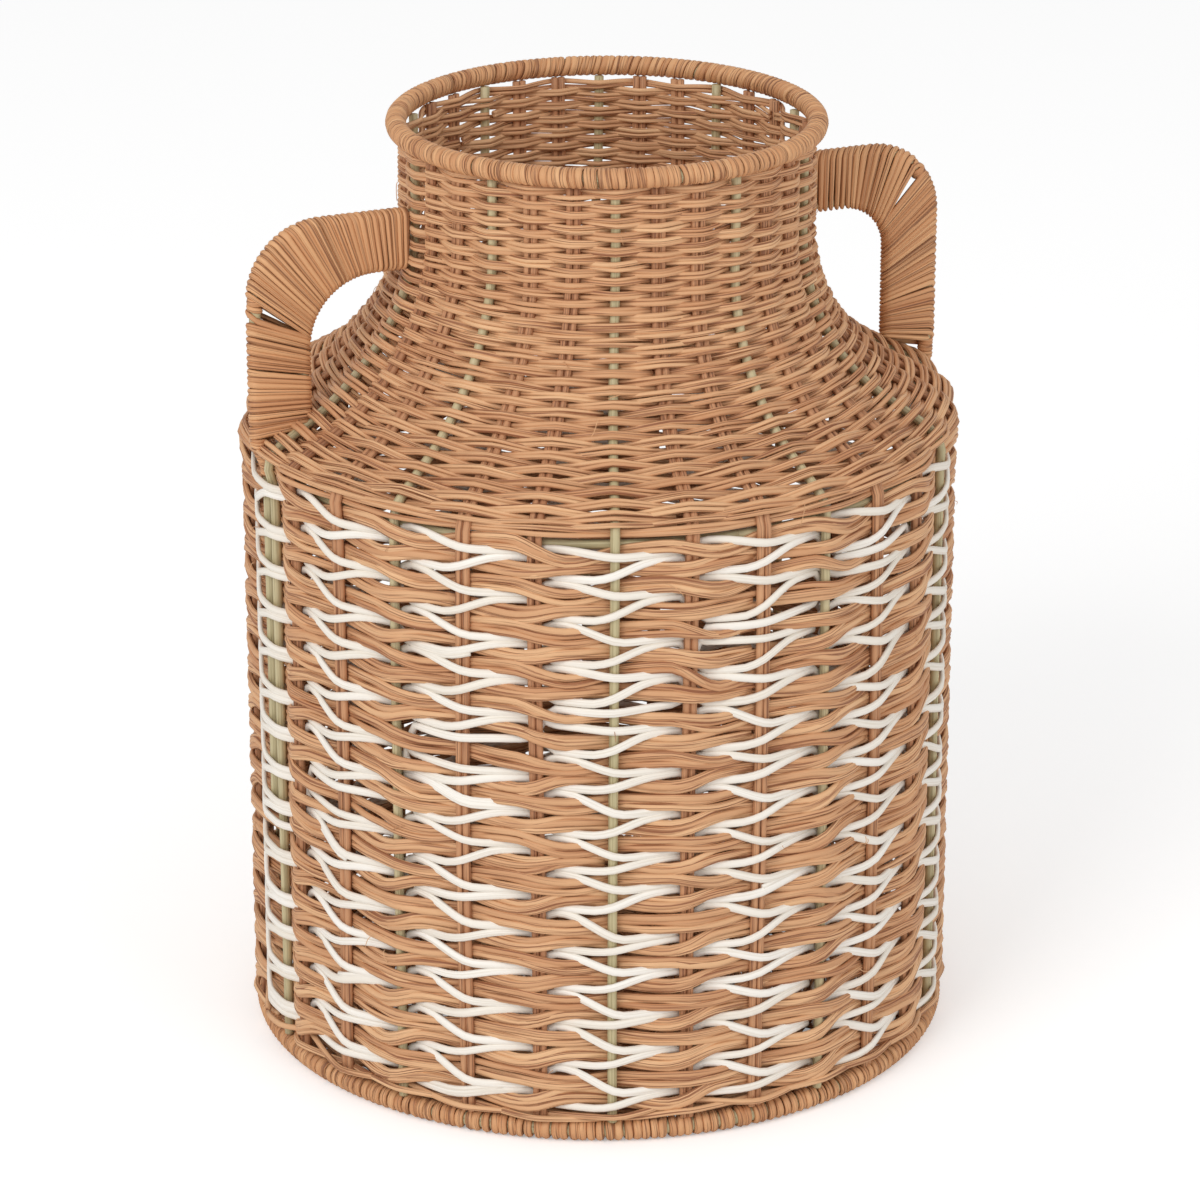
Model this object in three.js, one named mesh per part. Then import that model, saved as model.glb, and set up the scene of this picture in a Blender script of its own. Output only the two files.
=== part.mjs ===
// A woven rattan vase: canes and doubled reeds stand on a wrapped foot ring and carry the woven body,
// shoulder and neck, a wrapped rim and two wrapped handles.
// Millimetres, +Z up. The origin is on the axis, on the floor. The handles lie along X.
import * as THREE from 'three';

// Stake line, the curve from foot to rim that every upright cane and reed follows
const BODY_RADIUS = 145;
const NECK_RADIUS = 82.5;
const BODY_TOP = 260.5;
const VASE_HEIGHT = 394;
const SHOULDER_LEAN = THREE.MathUtils.degToRad(59);
const SHOULDER_BEND = 10;
const NECK_BEND = 86;
const SHOULDER_BEND_STEPS = 2;

// Stakes, evenly spaced round the axis: one cane, then two pairs of reeds, and so on
const STAKE_COUNT = 30;
const STAKES_PER_CANE = 3;
const STAKE_STEP = (2 * Math.PI) / STAKE_COUNT;
const CANE_RADIUS = 2.1;
const CANE_SIDES = 6;
const REED_RADIUS = 1.6;
const REED_SPREAD = 1.5;
const REED_WAIST = 0.8;

// Weave: natural rows with white strands twined round them on the body, then bands up to the rim
const ROW_COUNT = 11;
const ROW_THICKNESS = 2.5;
const WHITE_DIAMETER = 2.8;
const WHITE_REACH = THREE.MathUtils.degToRad(3.7);
const SHEET_THICKNESS = 2;
const UPPER_BAND_COUNT = 5;
const BASE_THICKNESS = 2.6;
const BASE_WAVE = 1.2;
const BASE_RINGS = 6;

// Hoops and the strip wound round the rim and the foot
const HOOP_RADIUS = 2;
const HOOP_SEGMENTS = 30;
const HOOP_SIDES = 6;
const FOOT_INSET = 2.6;
const RIM_FLARE = 3.3;
const SHOULDER_HOOP_DROP = 2.5;
const STRIP_THICKNESS = 0.9;
const STRIP_GAP = 1;
const WRAP_LOOPS = 24;
const WRAP_SIDES = 6;

// Handles: two rods side by side, bent over from the neck to the shoulder and wrapped together.
// Their legs stand at opposite sides, each close beside a cane.
const ROD_RADIUS = 2.5;
const ROD_SIDES = 8;
const ROD_BEND_STEPS = 6;
const HANDLE_DROP = 35.2;
const HANDLE_OVERHANG = 4.2;
const ROD_SPACING_ON_ARM = 15.6;
const ROD_SPACING_ON_DROP = 19.2;
const OUTER_ROD_BEND = 31.2;
const INNER_ROD_BEND = 30;
const LEG_AZIMUTHS = [-Math.PI / 2, Math.PI / 2];
const LEG_OFFSET = THREE.MathUtils.degToRad(2.3);
const LEG_BOTTOM = 112;
const HANDLE_WRAP_RISE = 14;
const HANDLE_STRIP_SHARE = 0.78;
const HANDLE_LOOPS_ON_ARM = 4;
const HANDLE_LOOPS_ON_BEND = 10;
const HANDLE_STEPS_PER_ROD = 4;

// Room left between pieces that touch on the real vase
const CLEARANCE = 0.3;
const STRAND_CLEARANCE = 0.4;

const RATTAN = { color: 0xc69468, roughness: 0.62, metalness: 0 };
const REED = { color: 0xa8754f, roughness: 0.65, metalness: 0 };
const CANE = { color: 0xb5a67d, roughness: 0.5, metalness: 0 };
const WHITE = { color: 0xf1ece2, roughness: 0.55, metalness: 0 };
const WRAP = { color: 0xcb9a6c, roughness: 0.55, metalness: 0 };

// Lengths and heights that follow from the sizes above
const SHOULDER_BEND_LENGTH = SHOULDER_BEND * SHOULDER_LEAN;
const NECK_BEND_LENGTH = NECK_BEND * SHOULDER_LEAN;
const BEND_INSET = (SHOULDER_BEND + NECK_BEND) * (1 - Math.cos(SHOULDER_LEAN));
const SLOPE_LENGTH = (BODY_RADIUS - NECK_RADIUS - BEND_INSET) / Math.sin(SHOULDER_LEAN);
const SLOPE_START = BODY_TOP + SHOULDER_BEND_LENGTH;
const SLOPE_END = SLOPE_START + SLOPE_LENGTH;
const NECK_START = SLOPE_END + NECK_BEND_LENGTH;

const FOOT_RADIUS = BODY_RADIUS - FOOT_INSET;
const RIM_RADIUS = NECK_RADIUS + RIM_FLARE;
const loopApothem = Math.cos(Math.PI / WRAP_SIDES);
const footStrip = stripRadii(FOOT_RADIUS);
const rimStrip = stripRadii(RIM_RADIUS);
const FOOT_HEIGHT = footStrip.outside * loopApothem;
const RIM_HEIGHT = VASE_HEIGHT - rimStrip.outside * loopApothem;
const STAKE_BOTTOM = FOOT_HEIGHT + footStrip.outside + CLEARANCE;
const REED_HALF_WIDTH = REED_SPREAD + REED_RADIUS;
const FOLD_HEIGHT = STAKE_BOTTOM + REED_HALF_WIDTH;
const STAKE_TOP = NECK_START + RIM_HEIGHT - rimStrip.outside - CLEARANCE - stakeLine(NECK_START).z;

const OUTER_ROD_HEIGHT = VASE_HEIGHT - HANDLE_DROP;
const OUTER_ROD_RADIUS = BODY_RADIUS + HANDLE_OVERHANG;
const INNER_ROD_HEIGHT = OUTER_ROD_HEIGHT - ROD_SPACING_ON_ARM;
const INNER_ROD_RADIUS = OUTER_ROD_RADIUS - ROD_SPACING_ON_DROP;
const HANDLE_WRAP_BOTTOM = BODY_TOP + HANDLE_WRAP_RISE;
const HANDLE_STEP_TURN = Math.PI / (HANDLE_STEPS_PER_ROD - 1);
const HANDLE_STRIP_INSIDE = (ROD_RADIUS + CLEARANCE) / Math.cos(HANDLE_STEP_TURN / 2);
const HANDLE_STRIP_OUTSIDE = HANDLE_STRIP_INSIDE + STRIP_THICKNESS;

// Inside and outside radius of a loop that clears the curved hoop it is wound on
function stripRadii(ringRadius) {
  const sagitta = ringRadius * (1 - Math.cos(Math.PI / WRAP_LOOPS));
  const inside = (HOOP_RADIUS + CLEARANCE + sagitta) / Math.cos(Math.PI / WRAP_SIDES);
  return { inside, outside: inside + STRIP_THICKNESS };
}

// Radius, height and lean of the stake line at a distance along it, measured up from the floor
function stakeLine(distance) {
  const clamp = THREE.MathUtils.clamp;
  const turnedIn = clamp(distance - BODY_TOP, 0, SHOULDER_BEND_LENGTH) / SHOULDER_BEND;
  const onSlope = clamp(distance - SLOPE_START, 0, SLOPE_LENGTH);
  const turnedBack = clamp(distance - SLOPE_END, 0, NECK_BEND_LENGTH) / NECK_BEND;
  const leftOnNeck = SHOULDER_LEAN - turnedBack;
  let r = BODY_RADIUS - SHOULDER_BEND * (1 - Math.cos(turnedIn));
  r -= onSlope * Math.sin(SHOULDER_LEAN);
  r -= NECK_BEND * (Math.cos(leftOnNeck) - Math.cos(SHOULDER_LEAN));
  let z = Math.min(distance, BODY_TOP) + SHOULDER_BEND * Math.sin(turnedIn);
  z += onSlope * Math.cos(SHOULDER_LEAN);
  z += NECK_BEND * (Math.sin(SHOULDER_LEAN) - Math.sin(leftOnNeck));
  z += Math.max(distance - NECK_START, 0);
  return { r, z, lean: turnedIn - turnedBack };
}

// Distances along the stake line where the bands above the shoulder's bend begin and end
function upperBandEnds() {
  const ends = [];
  for (let i = 0; i <= UPPER_BAND_COUNT; i++) {
    ends.push(THREE.MathUtils.lerp(SLOPE_START, STAKE_TOP, i / UPPER_BAND_COUNT));
  }
  return ends;
}

// Distances along the stake line from a stake's lower end: the shoulder's bend, then the ends of the bands
function stakeSteps(bottom) {
  const steps = [bottom, BODY_TOP];
  for (let i = 1; i < SHOULDER_BEND_STEPS; i++) {
    steps.push(BODY_TOP + (SHOULDER_BEND_LENGTH * i) / SHOULDER_BEND_STEPS);
  }
  return [...steps, ...upperBandEnds()];
}

// Directions at an azimuth, which is measured from -Y towards +X
function outward(azimuth) {
  return new THREE.Vector3(Math.sin(azimuth), -Math.cos(azimuth), 0);
}

function sideways(azimuth) {
  return new THREE.Vector3(Math.cos(azimuth), Math.sin(azimuth), 0);
}

function pointAt(azimuth, r, z) {
  return outward(azimuth).multiplyScalar(r).setZ(z);
}

// A point off a line in a radial plane: across it, and outwards square to it
function pointOff(azimuth, station, across, out) {
  const r = station.r + out * Math.cos(station.lean);
  const z = station.z + out * Math.sin(station.lean);
  return pointAt(azimuth, r, z).addScaledVector(sideways(azimuth), across);
}

// Joins equal cross-sections into one closed body, closed on itself or capped at both ends
function loft(sections, isRing) {
  const size = sections[0].length;
  const points = sections.flat();
  const triangles = [];
  const joins = isRing ? sections.length : sections.length - 1;
  for (let i = 0; i < joins; i++) {
    const here = i * size;
    const next = ((i + 1) % sections.length) * size;
    for (let j = 0; j < size; j++) {
      const k = (j + 1) % size;
      triangles.push([here + j, here + k, next + k], [here + j, next + k, next + j]);
    }
  }
  if (!isRing) {
    const last = (sections.length - 1) * size;
    const middles = [sections[0], sections[sections.length - 1]].map(middleOf);
    const first = points.push(...middles) - 2;
    for (let j = 0; j < size; j++) {
      const k = (j + 1) % size;
      triangles.push([first, k, j], [first + 1, last + j, last + k]);
    }
  }
  const isInsideOut = volumeOf(points, triangles) < 0;
  const index = triangles.flatMap(([a, b, c]) => (isInsideOut ? [a, c, b] : [a, b, c]));
  const geometry = new THREE.BufferGeometry().setFromPoints(points);
  geometry.setIndex(index);
  geometry.computeVertexNormals();
  return geometry;
}

function middleOf(section) {
  const sum = section.reduce((total, point) => total.add(point), new THREE.Vector3());
  return sum.divideScalar(section.length);
}

function volumeOf(points, triangles) {
  const cross = new THREE.Vector3();
  const sixfold = triangles.map(([a, b, c]) => cross.crossVectors(points[b], points[c]).dot(points[a]));
  return sixfold.reduce((total, value) => total + value, 0) / 6;
}

function mesh(name, geometry, finish) {
  const piece = new THREE.Mesh(geometry, new THREE.MeshStandardMaterial(finish));
  piece.name = name;
  return piece;
}

function numbered(name, index) {
  return `${name}_${String(index + 1).padStart(2, '0')}`;
}

// Cross-sections, as [across, out] points
function roundSection(radius, sides) {
  const section = [];
  for (let i = 0; i < sides; i++) {
    const angle = (2 * Math.PI * i) / sides;
    section.push([radius * Math.cos(angle), radius * Math.sin(angle)]);
  }
  return section;
}

function reedPairSection() {
  const half = Math.sqrt(3) / 2;
  const lobe = [[0.5, half], [1, 0], [0.5, -half]];
  const right = lobe.map(([x, y]) => [REED_SPREAD + REED_RADIUS * x, REED_RADIUS * y]);
  const left = lobe.map(([x, y]) => [-REED_SPREAD - REED_RADIUS * x, -REED_RADIUS * y]);
  return [[0, REED_WAIST], ...right, [0, -REED_WAIST], ...left];
}

// A rod of constant section along stations in the radial plane at one azimuth
function rodSections(azimuth, stations, section) {
  return stations.map((station) => section.map(([x, y]) => pointOff(azimuth, station, x, y)));
}

// A hoop of round cane, lying level
function hoop(ringRadius, height) {
  const sections = [];
  for (let i = 0; i < HOOP_SEGMENTS; i++) {
    const azimuth = (2 * Math.PI * i) / HOOP_SEGMENTS;
    const station = { r: ringRadius, z: height, lean: 0 };
    sections.push(roundSection(HOOP_RADIUS, HOOP_SIDES).map(([across, up]) => {
      return pointOff(azimuth, { ...station, z: height + up }, 0, across);
    }));
  }
  return loft(sections, true);
}

// Least distance between the following edges of one loop and the leading edges of the next
function leastGap(sections, stepsPerLoop) {
  let least = Infinity;
  for (let i = 0; i + stepsPerLoop < sections.length; i++) {
    const near = sections[i];
    const far = sections[i + stepsPerLoop];
    least = Math.min(least, near[1].distanceTo(far[0]), near[2].distanceTo(far[3]));
  }
  return least;
}

function reportGap(name, sections, stepsPerLoop) {
  console.log(`${name}: least gap to itself ${leastGap(sections, stepsPerLoop).toFixed(2)} mm`);
}

// One strip wound round a level hoop, its loops side by side all the way round
function hoopWrap(name, ringRadius, height, radii) {
  const steps = WRAP_LOOPS * WRAP_SIDES;
  const halfWidth = Math.PI / WRAP_LOOPS - STRIP_GAP / ringRadius / 2;
  const sections = [];
  for (let i = 0; i < steps; i++) {
    const turn = (2 * Math.PI * i) / WRAP_SIDES;
    const middle = (2 * Math.PI * i) / steps;
    const corner = (side, radius) => {
      const r = ringRadius + radius * Math.cos(turn);
      return pointAt(middle + side * halfWidth, r, height + radius * Math.sin(turn));
    };
    const { inside, outside } = radii;
    sections.push([corner(-1, inside), corner(1, inside), corner(1, outside), corner(-1, outside)]);
  }
  reportGap(name, sections, WRAP_SIDES);
  return loft(sections, false);
}

// Stakes: the weave passes inside the even ones and outside the odd ones
const stakes = [];
for (let i = 0; i < STAKE_COUNT; i++) {
  const isCane = i % STAKES_PER_CANE === 0;
  stakes.push({
    azimuth: LEG_AZIMUTHS[0] - LEG_OFFSET + i * STAKE_STEP,
    side: i % 2 === 0 ? -1 : 1,
    reach: isCane ? CANE_RADIUS : REED_RADIUS,
    spread: isCane ? 0 : REED_SPREAD,
    isCane,
  });
}

// The same stakes with the handle legs among them, where a row is high enough to meet the legs
function stakesAndLegs() {
  const all = [...stakes];
  for (const azimuth of LEG_AZIMUTHS) {
    const beside = stakes.find((stake) => Math.abs(stake.azimuth + LEG_OFFSET - azimuth) < LEG_OFFSET / 2);
    all.push({ azimuth, side: beside.side, reach: ROD_RADIUS, spread: 0 });
  }
  return all.sort((a, b) => a.azimuth - b.azimuth);
}

// How far a sheet's middle stands off a stake line so that its slanting runs clear the stake
function standOff(ringRadius, stake, thickness) {
  const spacing = ringRadius * STAKE_STEP;
  const swing = 2 * (CANE_RADIUS + thickness / 2 + STRAND_CLEARANCE);
  const slant = Math.tan(STAKE_STEP / 2) + swing / spacing;
  const stretch = Math.hypot(1, slant);
  return slant * stake.spread + (stake.reach + thickness / 2) * stretch + STRAND_CLEARANCE;
}

// A woven band: on side 1 it passes outside the odd stakes and inside the even ones, on side -1 the reverse
function wovenBand(ring, distances, thickness, side) {
  const sections = ring.map((stake) => {
    const face = (distance, out) => {
      const station = stakeLine(distance);
      const offset = side * stake.side * standOff(station.r, stake, thickness);
      return pointOff(stake.azimuth, station, 0, offset + out);
    };
    const front = distances.map((distance) => face(distance, thickness / 2));
    const back = distances.map((distance) => face(distance, -thickness / 2));
    return [...front, ...back.reverse()];
  });
  return loft(sections, true);
}

// A woven disc: each ring rises and dips by turns from stake to stake, the reverse of the ring inside it
function wovenDisc(radius) {
  const ring = (number, face) => stakes.map((stake) => {
    const wave = (number % 2 === 0 ? 1 : -1) * stake.side * BASE_WAVE;
    const r = (radius * (number + 1)) / BASE_RINGS;
    return pointAt(stake.azimuth, r, FOOT_HEIGHT + wave + (face * BASE_THICKNESS) / 2);
  });
  const numbers = Array.from({ length: BASE_RINGS }, (_, number) => number);
  const top = numbers.map((number) => ring(number, 1));
  const bottom = numbers.map((number) => ring(number, -1)).reverse();
  return loft([...top, ...bottom], false);
}

// A white strand twined with one natural row: it crosses outside the even stakes and inside the odd ones,
// and slants from edge to edge of the row as it crosses
function whiteStrand(ring, rowMiddle, climb, direction) {
  const radius = WHITE_DIAMETER / 2;
  const sagitta = BODY_RADIUS * (1 - Math.cos(WHITE_REACH));
  const sections = [];
  ring.forEach((stake) => {
    const offset = -stake.side * (stake.reach + STRAND_CLEARANCE + radius + sagitta);
    for (const end of [-1, 1]) {
      const rise = climb * direction * end * -stake.side;
      const station = { r: BODY_RADIUS + offset, z: rowMiddle + rise, lean: 0 };
      const azimuth = stake.azimuth + end * WHITE_REACH;
      const corner = (turn) => {
        const up = { ...station, z: station.z + radius * Math.sin(turn) };
        return pointOff(azimuth, up, 0, radius * Math.cos(turn));
      };
      sections.push([corner(0), corner((2 * Math.PI) / 3), corner((4 * Math.PI) / 3)]);
    }
  });
  return loft(sections, true);
}

// Foot: a hoop of cane inside its winding, and the woven base
const vase = new THREE.Group();
const foot = new THREE.Group();
vase.add(foot);
foot.add(mesh('base_hoop', hoop(FOOT_RADIUS, FOOT_HEIGHT), CANE));
foot.add(mesh('base_wrap', hoopWrap('base_wrap', FOOT_RADIUS, FOOT_HEIGHT, footStrip), WRAP));
const baseRadius = (FOOT_RADIUS - footStrip.outside) * Math.cos(Math.PI / WRAP_LOOPS) - CLEARANCE;
foot.add(mesh('base_weave', wovenDisc(baseRadius), RATTAN));

// Uprights: round canes from foot to rim
const frame = new THREE.Group();
vase.add(frame);
const stakeDistances = stakeSteps(STAKE_BOTTOM);
stakes.filter((stake) => stake.isCane).forEach((stake, index) => {
  const stations = stakeDistances.map(stakeLine);
  const sections = rodSections(stake.azimuth, stations, roundSection(CANE_RADIUS, CANE_SIDES));
  frame.add(mesh(numbered('upright', index), loft(sections, false), CANE));
});

// Doubled reeds: each is folded at the foot, so that its two ends stand as neighbouring pairs
function foldSection(azimuth, facing) {
  const station = stakeLine(FOLD_HEIGHT);
  return reedPairSection().map(([across, out]) => {
    return pointOff(azimuth, { ...station, z: station.z + across }, facing * across, out);
  });
}

stakes.filter((stake) => stake.isCane).forEach((cane, index) => {
  const [near, far] = [1, 2].map((place) => cane.azimuth + place * STAKE_STEP);
  const stations = stakeSteps(FOLD_HEIGHT + 2 * REED_HALF_WIDTH).map(stakeLine);
  const turnedSection = reedPairSection().map(([across, out]) => [-across, out]);
  const rising = rodSections(far, stations, turnedSection);
  const falling = rodSections(near, stations, reedPairSection()).reverse();
  const fold = [foldSection(near, 1), foldSection(far, -1)];
  const sections = [...falling, ...fold, ...rising];
  frame.add(mesh(numbered('doubled_reed', index), loft(sections, false), REED));
});

// Shoulder hoop, tied inside the stakes just under their bend
const shoulderHoopHeight = BODY_TOP - SHOULDER_HOOP_DROP;
const shoulderHoopRadius = BODY_RADIUS - CANE_RADIUS - CLEARANCE - HOOP_RADIUS;
frame.add(mesh('shoulder_hoop', hoop(shoulderHoopRadius, shoulderHoopHeight), CANE));

// Body: natural rows between gaps that each take two white strands, up to the shoulder hoop
const body = new THREE.Group();
vase.add(body);
const rowGap = 2 * WHITE_DIAMETER + 3 * STRAND_CLEARANCE;
const weaveBottom = FOLD_HEIGHT + REED_HALF_WIDTH + rowGap / 2;
const weaveTop = shoulderHoopHeight - HOOP_RADIUS - STRAND_CLEARANCE + rowGap / 2;
const rowPitch = (weaveTop - weaveBottom) / ROW_COUNT;
const rowHeight = rowPitch - rowGap;
const whiteClimb = rowHeight / 2 + STRAND_CLEARANCE + WHITE_DIAMETER / 2;
for (let i = 0; i < ROW_COUNT; i++) {
  const bottom = weaveBottom + i * rowPitch;
  const top = bottom + rowHeight;
  const meetsLegs = top + rowGap > LEG_BOTTOM;
  const ring = meetsLegs ? stakesAndLegs() : stakes;
  const whiteRing = stakes.map((stake) => {
    const besideLeg = meetsLegs && LEG_AZIMUTHS.some((leg) => Math.abs(leg - stake.azimuth) < STAKE_STEP / 2);
    return besideLeg ? { ...stake, reach: ROD_RADIUS } : stake;
  });
  const direction = i % 2 === 0 ? 1 : -1;
  const white = whiteStrand(whiteRing, (bottom + top) / 2, whiteClimb, direction);
  body.add(mesh(numbered('body_row', i), wovenBand(ring, [bottom, top], ROW_THICKNESS, 1), RATTAN));
  body.add(mesh(numbered('white_strand', i), white, WHITE));
}

// Shoulder, throat and neck: woven bands, each passing the stakes on the other side than the band below it
const upper = new THREE.Group();
vase.add(upper);
const upperBandNames = [
  'shoulder_weave',
  'shoulder_weave_upper',
  'throat_weave',
  'neck_weave',
  'neck_weave_upper',
];
const bandEnds = upperBandEnds();
const upperBandSide = (band) => (band % 2 === 0 ? 1 : -1);
upperBandNames.forEach((name, band) => {
  const distances = [bandEnds[band], bandEnds[band + 1] - CLEARANCE];
  upper.add(mesh(name, wovenBand(stakes, distances, SHEET_THICKNESS, upperBandSide(band)), RATTAN));
});

// Rim: a hoop of cane inside its winding, on the ends of the stakes
upper.add(mesh('rim_hoop', hoop(RIM_RADIUS, RIM_HEIGHT), CANE));
upper.add(mesh('rim_wrap', hoopWrap('rim_wrap', RIM_RADIUS, RIM_HEIGHT, rimStrip), WRAP));

// Stations of a handle rod: along its arm, round its bend, then down. Its arm and its drop limit the bend.
function rodStations(armStart, height, downRadius, bendRadius, bottom) {
  const bend = Math.min(bendRadius, downRadius - armStart - ROD_RADIUS, height - bottom - ROD_RADIUS);
  const stations = [{ r: armStart, z: height, lean: -Math.PI / 2 }];
  for (let i = 0; i <= ROD_BEND_STEPS; i++) {
    const lean = -Math.PI / 2 - (Math.PI / 2) * (i / ROD_BEND_STEPS);
    const r = downRadius - bend - bend * Math.cos(lean);
    stations.push({ r, z: height - bend - bend * Math.sin(lean), lean });
  }
  stations.push({ r: downRadius, z: bottom, lean: -Math.PI });
  return stations;
}

// A place along a rod's arm, bend and drop, counted in loops of the wrap, and the lean of its outer side
function rodPlace(stations, loop) {
  const [arm, bendStart] = stations;
  const bendEnd = stations[stations.length - 2];
  const drop = stations[stations.length - 1];
  const bend = bendEnd.r - bendStart.r;
  const loopsOnDrop = WRAP_LOOPS - HANDLE_LOOPS_ON_ARM - HANDLE_LOOPS_ON_BEND;
  if (loop < HANDLE_LOOPS_ON_ARM) {
    const share = loop / HANDLE_LOOPS_ON_ARM;
    return { r: THREE.MathUtils.lerp(arm.r, bendStart.r, share), z: arm.z, lean: Math.PI / 2 };
  }
  if (loop < HANDLE_LOOPS_ON_ARM + HANDLE_LOOPS_ON_BEND) {
    const lean = (1 - (loop - HANDLE_LOOPS_ON_ARM) / HANDLE_LOOPS_ON_BEND) * (Math.PI / 2);
    return { r: bendStart.r + bend * Math.cos(lean), z: bendEnd.z + bend * Math.sin(lean), lean };
  }
  const share = (loop - HANDLE_LOOPS_ON_ARM - HANDLE_LOOPS_ON_BEND) / loopsOnDrop;
  return { r: bendEnd.r, z: THREE.MathUtils.lerp(bendEnd.z, drop.z, share), lean: 0 };
}

// One strip wound round both rods of a handle: half a turn round each rod makes a loop
function handleWrap(name, azimuth, outerStations, innerStations) {
  const stepsPerLoop = 2 * HANDLE_STEPS_PER_ROD;
  const inside = HANDLE_STRIP_INSIDE;
  const outside = HANDLE_STRIP_OUTSIDE;
  const halfWidth = HANDLE_STRIP_SHARE / 2;
  const sections = [];
  for (let i = 0; i <= (WRAP_LOOPS - HANDLE_STRIP_SHARE) * stepsPerLoop; i++) {
    const step = i % stepsPerLoop;
    const isOnOuterRod = step < HANDLE_STEPS_PER_ROD;
    const stations = isOnOuterRod ? outerStations : innerStations;
    const turn = (isOnOuterRod ? step : step - 1) * HANDLE_STEP_TURN - Math.PI / 2;
    const corner = (side, radius) => {
      const place = rodPlace(stations, halfWidth + i / stepsPerLoop + side * halfWidth);
      return pointOff(azimuth, place, radius * Math.sin(turn), radius * Math.cos(turn));
    };
    sections.push([corner(-1, inside), corner(1, inside), corner(1, outside), corner(-1, outside)]);
  }
  reportGap(name, sections, stepsPerLoop);
  return loft(sections, false);
}

// A place on the straight of an upper band, where its lower and upper ends give a share
function alongBand(low, high, share) {
  const lerp = THREE.MathUtils.lerp;
  return {
    r: lerp(low.r, high.r, share),
    z: lerp(low.z, high.z, share),
    lean: lerp(low.lean, high.lean, share),
  };
}

// Where the stakes pass a height on the throat or the neck
function neckStation(height) {
  const ends = bandEnds.map(stakeLine);
  const above = ends.findIndex((end) => end.z > height);
  const [low, high] = ends.slice(above - 1, above + 1);
  return alongBand(low, high, (height - low.z) / (high.z - low.z));
}

// Height of the shoulder's outer face at a radius where a handle rod stands on it beside a cane
function shoulderFace(cane, radius) {
  const faces = upperBandNames.map((_, band) => [band, band + 1].map((end) => {
    const station = stakeLine(bandEnds[end]);
    const side = upperBandSide(band) * cane.side;
    const rodEdge = LEG_OFFSET - (side * ROD_RADIUS) / station.r;
    const swing = standOff(station.r, cane, SHEET_THICKNESS);
    const out = side * swing * (1 - (2 * rodEdge) / STAKE_STEP) + SHEET_THICKNESS / 2;
    return {
      ...station,
      r: station.r + out * Math.cos(station.lean),
      z: station.z + out * Math.sin(station.lean),
    };
  }));
  const [low, high] = faces.find((ends) => ends[1].r < radius);
  return alongBand(low, high, (low.r - radius) / (low.r - high.r)).z;
}

// A handle: its outer rod runs on down as a leg among the stakes, its inner rod stops on the shoulder
function handle(name, azimuth) {
  const cane = stakes.find((stake) => stake.isCane && Math.abs(stake.azimuth - azimuth) < STAKE_STEP / 2);
  const stationsOf = (height, downRadius, bendRadius, bottom) => {
    const meeting = neckStation(height - HANDLE_STRIP_OUTSIDE);
    const face = standOff(meeting.r, cane, SHEET_THICKNESS) + SHEET_THICKNESS / 2;
    const armStart = meeting.r + face / Math.cos(meeting.lean) + STRAND_CLEARANCE;
    return rodStations(armStart, height, downRadius, bendRadius, bottom);
  };
  const innerBottom = shoulderFace(cane, INNER_ROD_RADIUS - ROD_RADIUS) + STRAND_CLEARANCE;
  const innerWrapBottom = shoulderFace(cane, INNER_ROD_RADIUS - HANDLE_STRIP_OUTSIDE) + STRAND_CLEARANCE;
  const outer = stationsOf(OUTER_ROD_HEIGHT, OUTER_ROD_RADIUS, OUTER_ROD_BEND, HANDLE_WRAP_BOTTOM);
  const inner = stationsOf(INNER_ROD_HEIGHT, INNER_ROD_RADIUS, INNER_ROD_BEND, innerWrapBottom);
  const legTop = stakeLine(SLOPE_START).z + ROD_RADIUS;
  const legStations = [
    { r: OUTER_ROD_RADIUS, z: legTop, lean: -Math.PI },
    { r: BODY_RADIUS, z: BODY_TOP, lean: -Math.PI },
    { r: BODY_RADIUS, z: LEG_BOTTOM, lean: -Math.PI },
  ];
  const innerEnd = { ...inner[inner.length - 1], z: innerBottom };
  const section = roundSection(ROD_RADIUS, ROD_SIDES);
  const outerRod = rodSections(azimuth, [...outer.slice(0, -1), ...legStations], section);
  const innerRod = rodSections(azimuth, [...inner.slice(0, -1), innerEnd], section);
  const group = new THREE.Group();
  group.add(mesh(`${name}_outer_rod`, loft(outerRod, false), CANE));
  group.add(mesh(`${name}_inner_rod`, loft(innerRod, false), CANE));
  group.add(mesh(`${name}_wrap`, handleWrap(`${name}_wrap`, azimuth, outer, inner), WRAP));
  return group;
}

vase.add(handle('left_handle', LEG_AZIMUTHS[0]));
vase.add(handle('right_handle', LEG_AZIMUTHS[1]));

export default vase;
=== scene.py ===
import random
from math import asin, cos, exp, floor, pi, radians, sin

import bmesh
import bpy
import numpy as np
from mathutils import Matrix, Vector


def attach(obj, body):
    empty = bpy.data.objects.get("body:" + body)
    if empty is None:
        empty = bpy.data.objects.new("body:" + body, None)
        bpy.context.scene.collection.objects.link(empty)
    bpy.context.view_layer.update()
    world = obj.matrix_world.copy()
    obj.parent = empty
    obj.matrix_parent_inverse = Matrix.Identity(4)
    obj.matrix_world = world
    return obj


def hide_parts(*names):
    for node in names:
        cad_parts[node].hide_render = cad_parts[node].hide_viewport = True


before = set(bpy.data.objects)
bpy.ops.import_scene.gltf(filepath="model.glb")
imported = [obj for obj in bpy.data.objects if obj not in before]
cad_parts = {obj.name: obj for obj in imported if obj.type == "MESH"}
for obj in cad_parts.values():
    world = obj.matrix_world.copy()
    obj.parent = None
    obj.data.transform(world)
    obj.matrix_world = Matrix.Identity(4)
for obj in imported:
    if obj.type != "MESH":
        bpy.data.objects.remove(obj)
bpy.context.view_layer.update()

# Upright canes: ten whole rattan canes with their greenish skin left on. They stand on the foot ring,
# bend in over the shoulder and end under the rim, and with the reeds they hold all the weaving.
MM = 0.001
BODY_RADIUS = 145.0
NECK_RADIUS = 82.5
BODY_TOP = 260.5
SHOULDER_LEAN = radians(59)
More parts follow.
